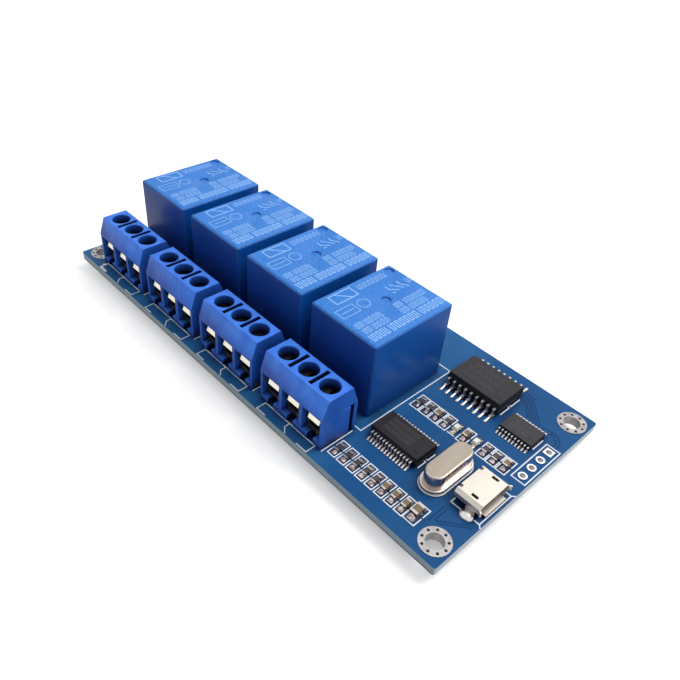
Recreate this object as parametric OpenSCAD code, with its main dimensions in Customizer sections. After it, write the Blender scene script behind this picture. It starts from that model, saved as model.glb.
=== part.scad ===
// Four-channel relay module board: relays, screw terminals and control
// electronics on one drilled circuit board.
// Millimetres. The origin is the centre of the mounting-hole pattern on the
// underside of the board. +X runs to the socket end, +Y from the screw
// terminals towards the back edge, +Z up from the board.

/* [Board] */
// Length of the board
board_l = 102; // [101:0.5:108]
// Width of the board
board_w = 44; // [43.6:0.2:48]
// Thickness of the laminate
board_t = 1.6; // [1.2:0.1:2.4]
// Radius of the board's corners
board_corner_r = 0.5; // [0.3:0.1:1.5]
// Mounting holes from the ends of the board
mount_in_x = 3; // [2.9:0.1:3.2]
// Mounting holes from the long edges of the board
mount_in_y = 3.5; // [3.1:0.1:3.6]
// Finished diameter of a mounting hole
mount_hole_d = 3; // [2.6:0.1:3.2]
// Diameter of the tinned land round a mounting hole
mount_land_d = 5.2; // [5:0.1:5.4]
// Diameter of the small stitching holes in each land
stitch_hole_d = 0.52; // [0.4:0.02:0.6]
// Number of stitching holes in each land
stitch_holes = 9; // [6:1:10]
// Thickness of the tinned copper
plating_t = 0.1; // [0.06:0.02:0.12]

/* [Channels] */
// Number of relay channels
channels = 4; // [4]
// Distance from one channel to the next
channel_pitch = 18; // [17:0.25:18.5]
// Centre of the first terminal from the plain end of the board
first_channel_in = 13.8; // [13.4:0.1:14.5]
// How far a relay sits off its terminal's centre line, towards the plain end
relay_shift = 0.4; // [0:0.1:0.8]

/* [Relays] */
// Width of a relay along the board
relay_w = 15.5; // [15:0.1:16]
// Length of a relay across the board
relay_l = 19.2; // [19:0.1:19.6]
// Height of a relay above the board
relay_h = 15.7; // [14:0.1:17]
// Bevel round the top of a relay
relay_bevel = 0.4; // [0.2:0.05:0.6]
// Radius of a relay's upright corners
relay_corner_r = 0.5; // [0.3:0.05:0.8]
// Gap between the relays and the terminals' backs
relay_gap = 3.2; // [2.6:0.1:3.6]
// Height of the base that closes a relay from below
relay_base_h = 1.2; // [0.8:0.1:1.6]
// Wall of the cover round the base
relay_wall = 0.6; // [0.4:0.05:0.8]
// Diameter of the round recesses in the top
relay_dimple_d = 1.9; // [1.5:0.1:2.2]
// Depth of the round recesses
relay_dimple_depth = 0.35; // [0.2:0.05:0.5]
// Middle recess off the centre of the top, along and across the board
relay_dimple_at = [-0.3, 1]; // [-1:0.1:1.5]
// Corner recess from the plain-end side and from the back of the top
relay_vent_in = [1.7, 1.7]; // [1.4:0.1:2]
// Half the distance between the paired pins
relay_pin_x = 6; // [5.5:0.1:6.2]
// Common pin from the end of the relay
relay_pin_end = 2.5; // [2.2:0.1:3]
// Coil pins behind the common pin
relay_coil_back = 2; // [1.8:0.1:2.4]
// Contact pins behind the common pin
relay_contact_back = 14.2; // [13.8:0.1:14.4]
// Width and thickness of a contact pin
contact_pin = [1.0, 0.5]; // [0.4:0.05:1.1]
// Width and thickness of a coil pin
coil_pin = [0.6, 0.6]; // [0.4:0.05:0.8]

/* [Screw terminals] */
// Distance between poles
pole_pitch = 5.08; // [5:0.02:5.1]
// Number of poles in a terminal
poles = 3; // [2:1:3]
// Plastic beyond the outer half pitches at each end
terminal_end = 0.15; // [0.1:0.05:0.3]
// Height of a terminal
terminal_h = 10.2; // [9.8:0.1:11]
// Depth of a terminal, front to back
terminal_d = 7.8; // [7.7:0.05:8.2]
// Front of the terminals from the edge of the board
terminal_in = 2.2; // [1.8:0.1:2.3]
// How far the front leans in between shoulder and top
front_lean = 1.2; // [0.8:0.05:1.3]
// How far the back leans in between shoulder and top
back_lean = 1.4; // [1:0.05:1.6]
// Height of the front shoulder
front_shoulder = 6.9; // [6.7:0.05:7.4]
// Height of the back shoulder
back_shoulder = 6.4; // [6:0.05:7]
// Wall between two wire entries
entry_wall = 0.76; // [0.6:0.02:0.9]
// Height of the floor of the wire entries
entry_floor = 1.3; // [1.1:0.05:1.5]
// Top of the wire entries
entry_top = 6.3; // [6.1:0.05:6.5]
// Depth of the pocket behind each wire entry
pocket_d = 5.9; // [5.85:0.05:6]
// Width of the slot in the floor of each pocket
floor_slot_w = 1.5; // [1.3:0.05:1.7]
// Diameter of the screwdriver holes
driver_hole_d = 3.6; // [3.5:0.05:3.8]
// Bevel round the mouth of a screwdriver hole
driver_hole_bevel = 0.15; // [0.1:0.01:0.2]
// Width of the grooves between poles in the top
top_groove_w = 0.8; // [0.6:0.05:0.9]
// Length of the grooves in the top
top_groove_l = 4.3; // [4:0.1:4.6]
// Depth of the grooves in the top
top_groove_depth = 2.2; // [1.5:0.1:2.5]
// Width of the joining groove in one end
join_groove_w = 1; // [0.9:0.05:1.1]
// Depth of the joining groove
join_groove_depth = 0.75; // [0.6:0.05:0.8]
// How far the raised panel on the same end stands out at the groove
end_panel_t = 0.2; // [0.15:0.01:0.25]

/* [Terminal metal] */
// Play round a contact cage in its pocket
cage_play = 0.12; // [0.08:0.02:0.15]
// Front of a cage behind the front of the housing
cage_back = 1.15; // [1.1:0.05:1.3]
// Depth of a cage, front to back
cage_d = 4.5; // [4.3:0.05:4.55]
// Top of a cage above the board
cage_top = 7; // [6.8:0.05:7.05]
// Thickness of a cage's sides
cage_side_t = 0.6; // [0.5:0.05:0.7]
// Thickness of a cage's lower bar
cage_foot_t = 1; // [0.8:0.05:1.1]
// Thickness of a cage's threaded bridge
cage_bridge_t = 1.3; // [1.1:0.05:1.5]
// Diameter of a terminal pin
terminal_pin_d = 1; // [0.9:0.05:1.1]
// Diameter of a clamp screw's thread
screw_d = 2.5; // [2.3:0.1:2.6]
// Diameter of a clamp screw's head
screw_head_d = 3.3; // [3.1:0.05:3.4]
// Top of a screw below the top of the housing
screw_sunk = 1.9; // [1.6:0.05:2.1]
// Tip of a screw above the board
screw_tip = 4.75; // [4.5:0.05:4.9]
// Thickness of the clamp leaf under a screw
leaf_t = 0.3; // [0.2:0.05:0.35]
// Height of the leaf's front flag
leaf_flag_h = 1.25; // [1.1:0.05:1.35]
// Lean of the front flag in degrees
leaf_flag_lean = 20; // [10:1:24]

/* [Control chips] */
// Lead thickness of the large chip
driver_lead_t = 0.28; // [0.22:0.02:0.32]
// Lead thickness of the two small chips
fine_lead_t = 0.18; // [0.14:0.02:0.2]
// Air under the chip bodies
chip_standoff = 0.1; // [0.06:0.02:0.15]

/* [Crystal] */
// Length of the crystal's can
crystal_l = 9.9; // [9.7:0.05:10.1]
// Width of the crystal's can
crystal_w = 3.7; // [3.5:0.05:3.8]
// Width of the rim round the can's foot
crystal_rim = 0.55; // [0.45:0.05:0.6]
// Height of the can above the board
crystal_h = 3.5; // [3.3:0.05:4]
// Spacing of the crystal's leads
crystal_pitch = 4.88; // [4.7:0.02:5]

/* [Socket] */
// Length of the socket shell, without its lips
usb_l = 4.9; // [4.7:0.05:5.2]
// Width of the socket shell
usb_w = 7.5; // [7.4:0.05:7.7]
// Height of the socket shell
usb_h = 2.5; // [2.4:0.05:2.7]
// Sheet thickness of the shell
usb_sheet = 0.25; // [0.2:0.01:0.3]
// Length of the lips at the mouth
usb_lip_l = 0.6; // [0.4:0.05:0.7]
// Mouth of the socket from the end of the board
usb_in = 1.25; // [1.1:0.05:1.5]
// Air between the board and the floor of the socket
usb_lift = 0.35; // [0.25:0.05:0.45]
// Centre of the socket off the board's centre line
usb_y = -7.1; // [-7.6:0.1:-6.8]

/* [Header] */
// Spacing of the header holes
header_pitch = 2.54; // [2.5:0.02:2.6]
// Finished diameter of a header hole
header_hole_d = 1; // [0.9:0.02:1.04]
// Width of a header land
header_land_d = 1.6; // [1.5:0.02:1.66]
// Number of header holes
header_holes = 4; // [4]
// Header row from the socket end of the board
header_in = 1.75; // [1.7:0.05:2]

/* [Solder side] */
// How far the trimmed pins stand out under the board
pin_below = 1.9; // [1.6:0.1:2.2]
// Height of a solder cone
solder_h = 1.1; // [0.9:0.05:1.3]
// Radius of a solder cone at the board
solder_r = 1.0; // [0.9:0.02:1.05]
// Radius of a solder cone at its tip
solder_tip_r = 0.62; // [0.56:0.02:0.7]
// Play between a pin and its hole in the board
pin_play = 0.15; // [0.1:0.01:0.2]

/* [Hidden] */

round_fn = 48;
small_fn = 24;
cut = 1;  // how far a cutter runs past the face it opens

// Places along the board are measured from its ends, so parts follow the edge
// that they belong to.
end_x = board_l / 2;
terminal_edge = -board_w / 2;
mount_x = end_x - mount_in_x;
mount_y = board_w / 2 - mount_in_y;
top = board_t;
seat = top + plating_t;  // solder lands lift small parts by their own thickness

function channel_x(n) = -end_x + first_channel_in + (n - 1) * channel_pitch;
function relay_x(n) = channel_x(n) - relay_shift;
terminal_front = terminal_edge + terminal_in;
relay_y = terminal_front + terminal_d + relay_gap + relay_l / 2;
function relay_pin_y(back) = relay_y - relay_l / 2 + relay_pin_end + back;
terminal_l = poles * pole_pitch + 2 * terminal_end;
function pole_x(k) = (k - (poles - 1) / 2) * pole_pitch;
header_x = end_x - header_in;
header_y = 5.54;  // middle of the header row
function header_hole_y(k) = header_y + ((header_holes - 1) / 2 - k) * header_pitch;

// Terminal sections, from the front of the housing and the top of the board.
pocket_w = pole_pitch - entry_wall;
pocket_top = cage_top + cage_play;
cage_w = pocket_w - 2 * cage_play;
cage_foot = entry_floor;
cage_mid = cage_back + cage_d / 2;
driver_y = (front_lean + terminal_d - back_lean) / 2;
screw_top = terminal_h - screw_sunk;
screw_head_bottom = pocket_top + cage_play;
window_w = cage_w - 2 * cage_side_t;
window_floor = cage_foot + cage_foot_t;
window_top = cage_top - cage_bridge_t;
leaf_play = 0.1;
flag_gap = 0.12;
join_y = pocket_d + 0.1;
join_play = 0.1;
end_panel_in = 3.1;  // start of the raised panel behind the front of the housing

// [centre x from the socket end, centre y, body length, body width, body
// height, leads a side, lead pitch, lead width, lead span, foot length, span
// of the solder lands]
driver_chip = [18.3, 13.1, 11.55, 7.5, 2.35, 9, 1.27, 0.42, 10.3, 0.75, 13.3];
bridge_chip = [19.03, -8, 10.2, 5.3, 1.75, 14, 0.65, 0.3, 7.8, 0.6, 8.6];
logic_chip = [7.35, 9.35, 6.5, 4.4, 0.9, 10, 0.65, 0.25, 6.4, 0.5, 6.9];
function chip_x(chip) = end_x - chip[0];
function chip_y(chip) = chip[1];
function chip_l(chip) = chip[2];
function chip_w(chip) = chip[3];
function chip_h(chip) = chip[4];
function chip_leads_a_side(chip) = chip[5];
function chip_lead_x(chip, k) = (k - (chip[5] - 1) / 2) * chip[6];
function chip_lead_w(chip) = chip[7];
function chip_reach(chip) = chip[8] / 2;
function chip_foot(chip) = chip[9];
function chip_land_reach(chip) = chip[10] / 2;
land_margin = 0.04;  // how far a solder land shows beside a lead

crystal_in = 10.1;  // centre of the crystal from the socket end
crystal_x = end_x - crystal_in;
crystal_y = -7.5;
crystal_rim_t = 0.45;
crystal_bend = 0.3;   // bend round the top of the can
crystal_roll = 0.18;  // rounding of the rim
crystal_base_t = 0.4;
crystal_lead_d = 0.43;

usb_mouth = end_x - usb_in;
usb_corner = 0.6;
usb_taper = 1.05;
usb_lip_lean = 35;      // degrees that the side lips lean out
usb_foot = [1.7, 1.2];  // length and reach of a side foot
usb_foot_x = usb_mouth - 1.6;
usb_block_l = 1.4;
usb_block_play = 0.05;
usb_tongue_w = 4.2;
usb_tongue_t = 0.6;
usb_tongue_back = 0.8;  // tip of the tongue behind the mouth
usb_contact_t = 0.15;
usb_contact_pitch = 0.65;

// Small parts stand in two rows of even places, counted from the relays.
upper_y = 1.35;
upper_in = 23.45;  // first place of the upper row from the socket end
upper_pitch = 2.08;
lower_y = -17.2;
lower_in = 24.75;
lower_pitch = 2.1;
bulk_in = 8;
bulk_y = -16.95;
function upper_place(k) = [upper_in - k * upper_pitch, upper_y];
function lower_place(k) = [lower_in - k * lower_pitch, lower_y];
resistor_places = [
  for (k = [0, 1, 3, 7, 8]) upper_place(k),
  for (k = [0:4]) lower_place(k)
];
capacitor_places = [
  for (k = [2, 5, 9]) upper_place(k),
  for (k = [5:7]) lower_place(k)
];
bulk_capacitor_place = [bulk_in, bulk_y];
led_places = [upper_place(4), upper_place(6)];
// [length across the board, width, height, end cap length]
resistor_size = [1.65, 0.9, 0.45, 0.3];
capacitor_size = [1.65, 0.9, 0.8, 0.35];
bulk_capacitor_size = [2.05, 1.3, 1.25, 0.45];
led_size = [1.65, 0.9, 0.3, 0.3];
led_lens = [1.05, 0.85, 0.4];
cap_wrap = 0.04;  // how far an end cap wraps over its ceramic body
small_land_out = 0.65;  // how far a land shows beyond an end cap

// ---- shapes used by several pieces -------------------------------------

// Upright block with round corners, centred in x and y, standing on z = 0.
module rounded_block(l, w, h, r) {
  translate([-l / 2 + r, -w / 2, 0]) cube([l - 2 * r, w, h]);
  translate([-l / 2, -w / 2 + r, 0]) cube([l, w - 2 * r, h]);
  for (sx = [-1, 1], sy = [-1, 1])
    translate([sx * (l / 2 - r), sy * (w / 2 - r), 0]) cylinder(r = r, h = h, $fn = round_fn);
}

// Profile in (y, z), extruded along X and centred on x = 0.
module along_x(l) {
  rotate([90, 0, 90]) translate([0, 0, -l / 2]) linear_extrude(height = l) children();
}

// Profile in (x, z), extruded along +Y from y = 0.
module along_y(l) {
  translate([0, l, 0]) rotate([90, 0, 0]) linear_extrude(height = l) children();
}

// Rectangle with its top corners bevelled, centred on x = 0, standing on 0.
module bevelled_face(w, h, bevel) {
  polygon([
    [-w / 2, 0], [w / 2, 0], [w / 2, h - bevel],
    [w / 2 - bevel, h], [-w / 2 + bevel, h], [-w / 2, h - bevel]
  ]);
}

module at_mounts() {
  for (sx = [-1, 1], sy = [-1, 1])
    translate([sx * mount_x, sy * mount_y, 0]) children();
}

// ---- pins and holes that the board and the parts share -------------------

module at_relay_pins(n) {
  for (p = [
    [0, 0], [-relay_pin_x, relay_coil_back], [relay_pin_x, relay_coil_back],
    [-relay_pin_x, relay_contact_back], [relay_pin_x, relay_contact_back]
  ])
    translate([relay_x(n) + p[0], relay_pin_y(p[1]), 0]) children();
}

module at_poles(n) {
  for (k = [0:poles - 1])
    translate([channel_x(n) + pole_x(k), terminal_front, 0]) children();
}

module at_terminal_pins(n) {
  at_poles(n) translate([0, cage_mid, 0]) children();
}

module at_crystal_leads() {
  for (s = [-1, 1])
    translate([crystal_x, crystal_y + s * crystal_pitch / 2, 0]) children();
}

module at_header() {
  for (k = [0:header_holes - 1])
    translate([header_x, header_hole_y(k), 0]) children();
}

// ---- board ---------------------------------------------------------------

// Cutter for a round hole through the board.
module board_drill(d, facets) {
  translate([0, 0, -cut]) cylinder(d = d, h = board_t + 2 * cut, $fn = facets);
}

// The ring of small stitching holes in a mounting land.
module at_stitches() {
  stitch_r = (mount_land_d + mount_hole_d) / 4;
  for (k = [0:stitch_holes - 1])
    rotate([0, 0, k * 360 / stitch_holes]) translate([stitch_r, 0, 0]) children();
}

module pcb() {
  color([0.08, 0.31, 0.59])
  difference() {
    rounded_block(board_l, board_w, board_t, board_corner_r);
    at_mounts() board_drill(mount_hole_d + 2 * plating_t, round_fn);
    at_header() board_drill(header_hole_d + 2 * plating_t, round_fn);
    for (n = [1:channels]) {
      at_relay_pins(n) board_drill(contact_pin[0] + 2 * pin_play, small_fn);
      at_terminal_pins(n) board_drill(terminal_pin_d + 2 * pin_play, small_fn);
    }
    at_crystal_leads() board_drill(crystal_lead_d + 2 * pin_play, small_fn);
    at_mounts() at_stitches() board_drill(stitch_hole_d, small_fn);
  }
}

// Tinned barrel through the board with a land on each face.
module plated_hole(hole_d, land_d, square_land = false) {
  difference() {
    union() {
      cylinder(d = hole_d + 2 * plating_t, h = board_t, $fn = round_fn);
      for (z = [-plating_t, board_t])
        translate([0, 0, z])
          if (square_land)
            translate([-land_d / 2, -land_d / 2, 0]) cube([land_d, land_d, plating_t]);
          else
            cylinder(d = land_d, h = plating_t, $fn = round_fn);
    }
    board_drill(hole_d, round_fn);
  }
}

module mounting_lands() {
  color([0.84, 0.85, 0.84])
  at_mounts()
  difference() {
    plated_hole(mount_hole_d, mount_land_d);
    at_stitches() board_drill(stitch_hole_d, small_fn);
  }
}

// The first land of the row is square, to mark pin one.
module header_lands() {
  color([0.84, 0.85, 0.84])
  for (k = [0:header_holes - 1])
    translate([header_x, header_hole_y(k), 0])
      plated_hole(header_hole_d, header_land_d, square_land = k == 0);
}

// One flat solder land, centred in x and y, on top of the laminate.
module land(w, l) {
  translate([-w / 2, -l / 2, top]) cube([w, l, plating_t]);
}

// Lands under every surface-mounted lead, end cap and foot.
module smd_lands() {
  color([0.8, 0.81, 0.8]) {
    chip_lands(driver_chip);
    chip_lands(bridge_chip);
    chip_lands(logic_chip);
    small_lands(resistor_places, resistor_size);
    small_lands(capacitor_places, capacitor_size);
    small_lands([bulk_capacitor_place], bulk_capacitor_size);
    small_lands(led_places, led_size);
  }
}

module chip_lands(chip) {
  heel = chip_reach(chip) - chip_foot(chip) - 2 * land_margin;
  reach = chip_land_reach(chip);
  at_leads(chip)
    translate([0, (heel + reach) / 2, 0]) land(chip_lead_w(chip) + 2 * land_margin, reach - heel);
}

module small_lands(places, size) {
  land_l = size[3] + small_land_out;
  for (p = places, s = [-1, 1])
    translate([end_x - p[0], p[1] + s * (size[0] / 2 - size[3] + land_l / 2), 0])
      land(size[1] + 4 * cap_wrap, land_l);
}

// Solder cones round every pin on the underside; each is open for its pin.
module solder_cone() {
  translate([0, 0, -solder_h])
    cylinder(r1 = solder_tip_r, r2 = solder_r, h = solder_h, $fn = small_fn);
}

module pin_core(section) {
  translate([-section[0] / 2, -section[1] / 2, -solder_h - cut])
    cube([section[0], section[1], solder_h + 2 * cut]);
}

module round_core(d) {
  translate([0, 0, -solder_h - cut]) cylinder(d = d, h = solder_h + 2 * cut, $fn = small_fn);
}

module solder_joints() {
  color([0.76, 0.77, 0.78]) {
    for (n = [1:channels]) {
      translate([relay_x(n), relay_pin_y(0), 0])
        difference() { solder_cone(); pin_core(contact_pin); }
      for (s = [-1, 1]) {
        translate([relay_x(n) + s * relay_pin_x, relay_pin_y(relay_coil_back), 0])
          difference() { solder_cone(); pin_core(coil_pin); }
        translate([relay_x(n) + s * relay_pin_x, relay_pin_y(relay_contact_back), 0])
          difference() { solder_cone(); pin_core(contact_pin); }
      }
      at_terminal_pins(n) difference() { solder_cone(); round_core(terminal_pin_d); }
    }
    at_crystal_leads() difference() { solder_cone(); round_core(crystal_lead_d); }
  }
}

// ---- relays --------------------------------------------------------------

// Cover with bevelled top edges and two round recesses.
module relay_cover(n) {
  color([0.13, 0.36, 0.78])
  translate([relay_x(n), relay_y, top])
  difference() {
    intersection() {
      rounded_block(relay_w, relay_l, relay_h, relay_corner_r);
      translate([0, -relay_l / 2, 0]) along_y(relay_l) bevelled_face(relay_w, relay_h, relay_bevel);
      along_x(relay_w) bevelled_face(relay_l, relay_h, relay_bevel);
    }
    // seat of the base
    translate([0, 0, -cut])
      rounded_block(relay_w - 2 * relay_wall, relay_l - 2 * relay_wall,
                    relay_base_h + cut, relay_corner_r / 2);
    // round recess near the middle, and the vent recess in the back corner
    for (p = [relay_dimple_at, [relay_vent_in[0] - relay_w / 2, relay_l / 2 - relay_vent_in[1]]])
      translate([p[0], p[1], relay_h - relay_dimple_depth])
        cylinder(d = relay_dimple_d, h = relay_dimple_depth + cut, $fn = round_fn);
  }
}

// Base that closes the cover, flush with its rim.
module relay_base(n) {
  color([0.1, 0.1, 0.12])
  translate([relay_x(n), relay_y, top])
    rounded_block(relay_w - 2 * relay_wall, relay_l - 2 * relay_wall,
                  relay_base_h, relay_corner_r / 2);
}

module relay_pin(section) {
  translate([-section[0] / 2, -section[1] / 2, -pin_below])
    cube([section[0], section[1], pin_below + top]);
}

module relay_pins(n) {
  color([0.8, 0.8, 0.8])
  translate([relay_x(n), 0, 0]) {
    translate([0, relay_pin_y(0), 0]) relay_pin(contact_pin);
    for (s = [-1, 1]) {
      translate([s * relay_pin_x, relay_pin_y(relay_coil_back), 0]) relay_pin(coil_pin);
      translate([s * relay_pin_x, relay_pin_y(relay_contact_back), 0]) relay_pin(contact_pin);
    }
  }
}

// ---- screw terminals -----------------------------------------------------

// Section of the housing in (y, z): upright to the shoulders, leaning in above.
module terminal_section() {
  polygon([
    [0, 0], [terminal_d, 0], [terminal_d, back_shoulder],
    [terminal_d - back_lean, terminal_h], [front_lean, terminal_h], [0, front_shoulder]
  ]);
}

module terminal_pocket() {
  // wire entry, a little lower than the pocket behind it
  translate([-pocket_w / 2, -cut, entry_floor])
    cube([pocket_w, cut + cage_back, entry_top - entry_floor]);
  // pocket that the cage slides into
  translate([-pocket_w / 2, cage_back - cage_play, entry_floor])
    cube([pocket_w, pocket_d - cage_back + cage_play, pocket_top - entry_floor]);
  // slot in the floor that lets the pin pass from the front
  translate([-floor_slot_w / 2, -cut, -cut])
    cube([floor_slot_w, cut + cage_mid, entry_floor + 2 * cut]);
  translate([0, cage_mid, -cut])
    cylinder(d = floor_slot_w, h = entry_floor + 2 * cut, $fn = small_fn);
  // screwdriver hole with a bevelled mouth
  translate([0, driver_y, pocket_top - cut / 2])
    cylinder(d = driver_hole_d, h = terminal_h - pocket_top + cut, $fn = round_fn);
  translate([0, driver_y, terminal_h - driver_hole_bevel])
    cylinder(d1 = driver_hole_d, d2 = driver_hole_d + 4 * driver_hole_bevel,
             h = 2 * driver_hole_bevel, $fn = round_fn);
}

module terminal_housing(n) {
  color([0.2, 0.4, 0.83])
  translate([channel_x(n), terminal_front, top])
  difference() {
    union() {
      along_x(terminal_l) terminal_section();
      // joining tongue on the plain end
      translate([-terminal_l / 2 - join_groove_depth + join_play, join_y + join_play, 0])
        cube([join_groove_depth, join_groove_w - 2 * join_play, back_shoulder - 2 * join_play]);
      // panel that rises out of the other end towards the joining groove
      translate([terminal_l / 2, 0, 0])
        linear_extrude(height = back_shoulder)
          polygon([
            [-end_panel_t, end_panel_in], [0, end_panel_in],
            [end_panel_t, join_y], [-end_panel_t, join_y]
          ]);
    }
    for (k = [0:poles - 1]) translate([pole_x(k), 0, 0]) terminal_pocket();
    // grooves between poles in the top
    for (k = [1:poles - 1])
      translate([pole_x(k) - pole_pitch / 2 - top_groove_w / 2, driver_y - top_groove_l / 2,
                 terminal_h - top_groove_depth])
        cube([top_groove_w, top_groove_l, top_groove_depth + cut]);
    // joining groove behind the raised panel
    translate([terminal_l / 2 - join_groove_depth, join_y, -cut])
      cube([join_groove_depth + cut, join_groove_w, back_shoulder + cut]);
  }
}

// Contact cage: a closed loop with a threaded bridge, its pin let in below.
module terminal_cages(n) {
  color([0.85, 0.84, 0.8])
  at_poles(n) {
    translate([0, cage_back, top])
    difference() {
      translate([-cage_w / 2, 0, cage_foot]) cube([cage_w, cage_d, cage_top - cage_foot]);
      translate([-window_w / 2, -cut, window_floor])
        cube([window_w, cage_d + 2 * cut, window_top - window_floor]);
      translate([0, driver_y - cage_back, window_top - cut / 2])
        cylinder(d = screw_d, h = cage_bridge_t + cut, $fn = round_fn);
    }
    translate([0, cage_mid, -pin_below])
      cylinder(d = terminal_pin_d, h = pin_below + top + cage_foot + cage_foot_t / 2, $fn = small_fn);
  }
}

// Slotted clamp screw standing on its leaf.
module terminal_screws(n) {
  slot_w = 0.6;
  slot_depth = 0.7;
  color([0.8, 0.72, 0.5])
  at_poles(n)
  translate([0, driver_y, top])
  difference() {
    union() {
      translate([0, 0, screw_tip]) cylinder(d = screw_d, h = screw_top - screw_tip, $fn = round_fn);
      translate([0, 0, screw_head_bottom])
        cylinder(d = screw_head_d, h = screw_top - screw_head_bottom, $fn = round_fn);
    }
    translate([-slot_w / 2, -screw_head_d, screw_top - slot_depth])
      cube([slot_w, 2 * screw_head_d, slot_depth + cut]);
  }
}

// Clamp leaf: an arm under the screw and a flag that leans out in front of
// the cage, so a wire can't slip in above the arm.
module terminal_leaves(n) {
  leaf_w = window_w - 2 * leaf_play;
  arm_z = screw_tip - leaf_t / 2;
  flag_y = cage_back - flag_gap - leaf_t / 2;
  below_arm = 0.38;  // share of the flag that hangs below the arm
  color([0.93, 0.91, 0.85])
  at_poles(n)
  translate([0, flag_y, top + arm_z]) {
    translate([-leaf_w / 2, 0, -leaf_t / 2]) cube([leaf_w, cage_d, leaf_t]);
    rotate([-leaf_flag_lean, 0, 0])
      translate([-leaf_w / 2, -leaf_t / 2, -leaf_flag_h * below_arm])
        cube([leaf_w, leaf_t, leaf_flag_h]);
  }
}

// ---- chips ---------------------------------------------------------------

// Gull-wing lead in (y, z), from the side of the body out to the foot.
module gull_wing(chip, t) {
  reach = chip_reach(chip);
  knee = reach - chip_foot(chip);
  mid = chip_standoff + chip_h(chip) / 2;
  body = chip_w(chip) / 2;
  polygon([
    [body, mid - t / 2], [knee - t, mid - t / 2], [knee - t / 2, t],
    [knee, 0], [reach, 0], [reach, t], [knee + t / 2, t],
    [knee, mid + t / 2], [body, mid + t / 2]
  ]);
}

// Each lead place of a chip, seen from the side that the lead leaves by.
module at_leads(chip) {
  translate([chip_x(chip), chip_y(chip), 0])
    for (k = [0:chip_leads_a_side(chip) - 1], turn = [0, 180])
      rotate([0, 0, turn]) translate([chip_lead_x(chip, k), 0, 0]) children();
}

// Hexagonal section: widest at half height.
module drafted_section(w, h, draft) {
  polygon([
    [-w / 2 + draft, 0], [w / 2 - draft, 0], [w / 2, h / 2],
    [w / 2 - draft, h], [-w / 2 + draft, h], [-w / 2, h / 2]
  ]);
}

// Moulded body: drafted above and below the lead plane, with a pin-one dimple.
module chip_body(chip, shade) {
  l = chip_l(chip);
  w = chip_w(chip);
  h = chip_h(chip);
  draft = 0.09 * h;
  dimple_d = 0.7;
  dimple_in = 1.1;
  dimple_depth = 0.06;
  color(shade)
  translate([chip_x(chip), chip_y(chip), seat + chip_standoff])
  difference() {
    intersection() {
      along_x(l) drafted_section(w, h, draft);
      translate([0, -w / 2, 0]) along_y(w) drafted_section(l, h, draft);
    }
    translate([l / 2 - dimple_in, -w / 2 + dimple_in, h - dimple_depth])
      cylinder(d = dimple_d, h = cut, $fn = small_fn);
  }
}

module chip_leads(chip, t) {
  color([0.82, 0.83, 0.84])
  at_leads(chip) translate([0, 0, seat]) along_x(chip_lead_w(chip)) gull_wing(chip, t);
}

// ---- crystal -------------------------------------------------------------

// Racetrack solid along Y: a (radius, z) outline is turned for the ends and
// pulled straight between them. The outline starts and ends on the axis.
module racetrack(l, w) {
  straight = l - w;
  for (s = [-1, 1])
    translate([0, s * straight / 2, 0]) rotate_extrude($fn = round_fn) children();
  translate([0, -straight / 2, 0]) along_y(straight) {
    children();
    mirror([1, 0]) children();
  }
}

function corner_arc(x, z, r, steps) =
  [for (k = [0:steps]) [x + r * cos(90 * k / steps), z + r * sin(90 * k / steps)]];

module crystal_can() {
  r = crystal_w / 2;
  color([0.78, 0.76, 0.73])
  translate([crystal_x, crystal_y, top + crystal_base_t])
    racetrack(crystal_l, crystal_w)
      polygon(concat(
        [[0, 0], [r + crystal_rim, 0]],
        corner_arc(r + crystal_rim - crystal_roll, crystal_rim_t - crystal_roll, crystal_roll, 4),
        [[r, crystal_rim_t]],
        corner_arc(r - crystal_bend, crystal_h - crystal_base_t - crystal_bend, crystal_bend, 5),
        [[0, crystal_h - crystal_base_t]]
      ));
}

module crystal_base() {
  r = crystal_w / 2 + crystal_rim - 0.1;
  color([0.7, 0.69, 0.66])
  translate([crystal_x, crystal_y, top])
    racetrack(crystal_l, crystal_w) square([r, crystal_base_t]);
}

module crystal_leads() {
  color([0.8, 0.8, 0.8])
  at_crystal_leads()
    translate([0, 0, -pin_below]) cylinder(d = crystal_lead_d, h = pin_below + top, $fn = small_fn);
}

// ---- socket --------------------------------------------------------------

// Outline of the socket in (y, z): wide above, drawn in below.
module usb_outline(shrink) {
  w = usb_w / 2 - shrink;
  c = usb_corner - shrink * 0.4;
  polygon([
    [-w + usb_taper, shrink], [w - usb_taper, shrink], [w, usb_taper + shrink * 0.6],
    [w, usb_h - c], [w - c, usb_h - shrink], [-w + c, usb_h - shrink],
    [-w, usb_h - c], [-w, usb_taper + shrink * 0.6]
  ]);
}

// Lips at the mouth: the floor runs on, and the side walls lean out.
module usb_lips() {
  floor_w = usb_w - 2 * usb_taper - usb_sheet;
  side_h = usb_h - usb_corner - usb_taper;
  translate([usb_l, -floor_w / 2, 0]) cube([usb_lip_l, floor_w, usb_sheet]);
  for (s = [-1, 1])
    translate([usb_l - usb_sheet / 2, s * (usb_w / 2 - usb_sheet / 2), usb_taper])
      rotate([0, 0, s * usb_lip_lean])
        translate([0, -usb_sheet / 2, 0]) cube([usb_lip_l, usb_sheet, side_h]);
}

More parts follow.
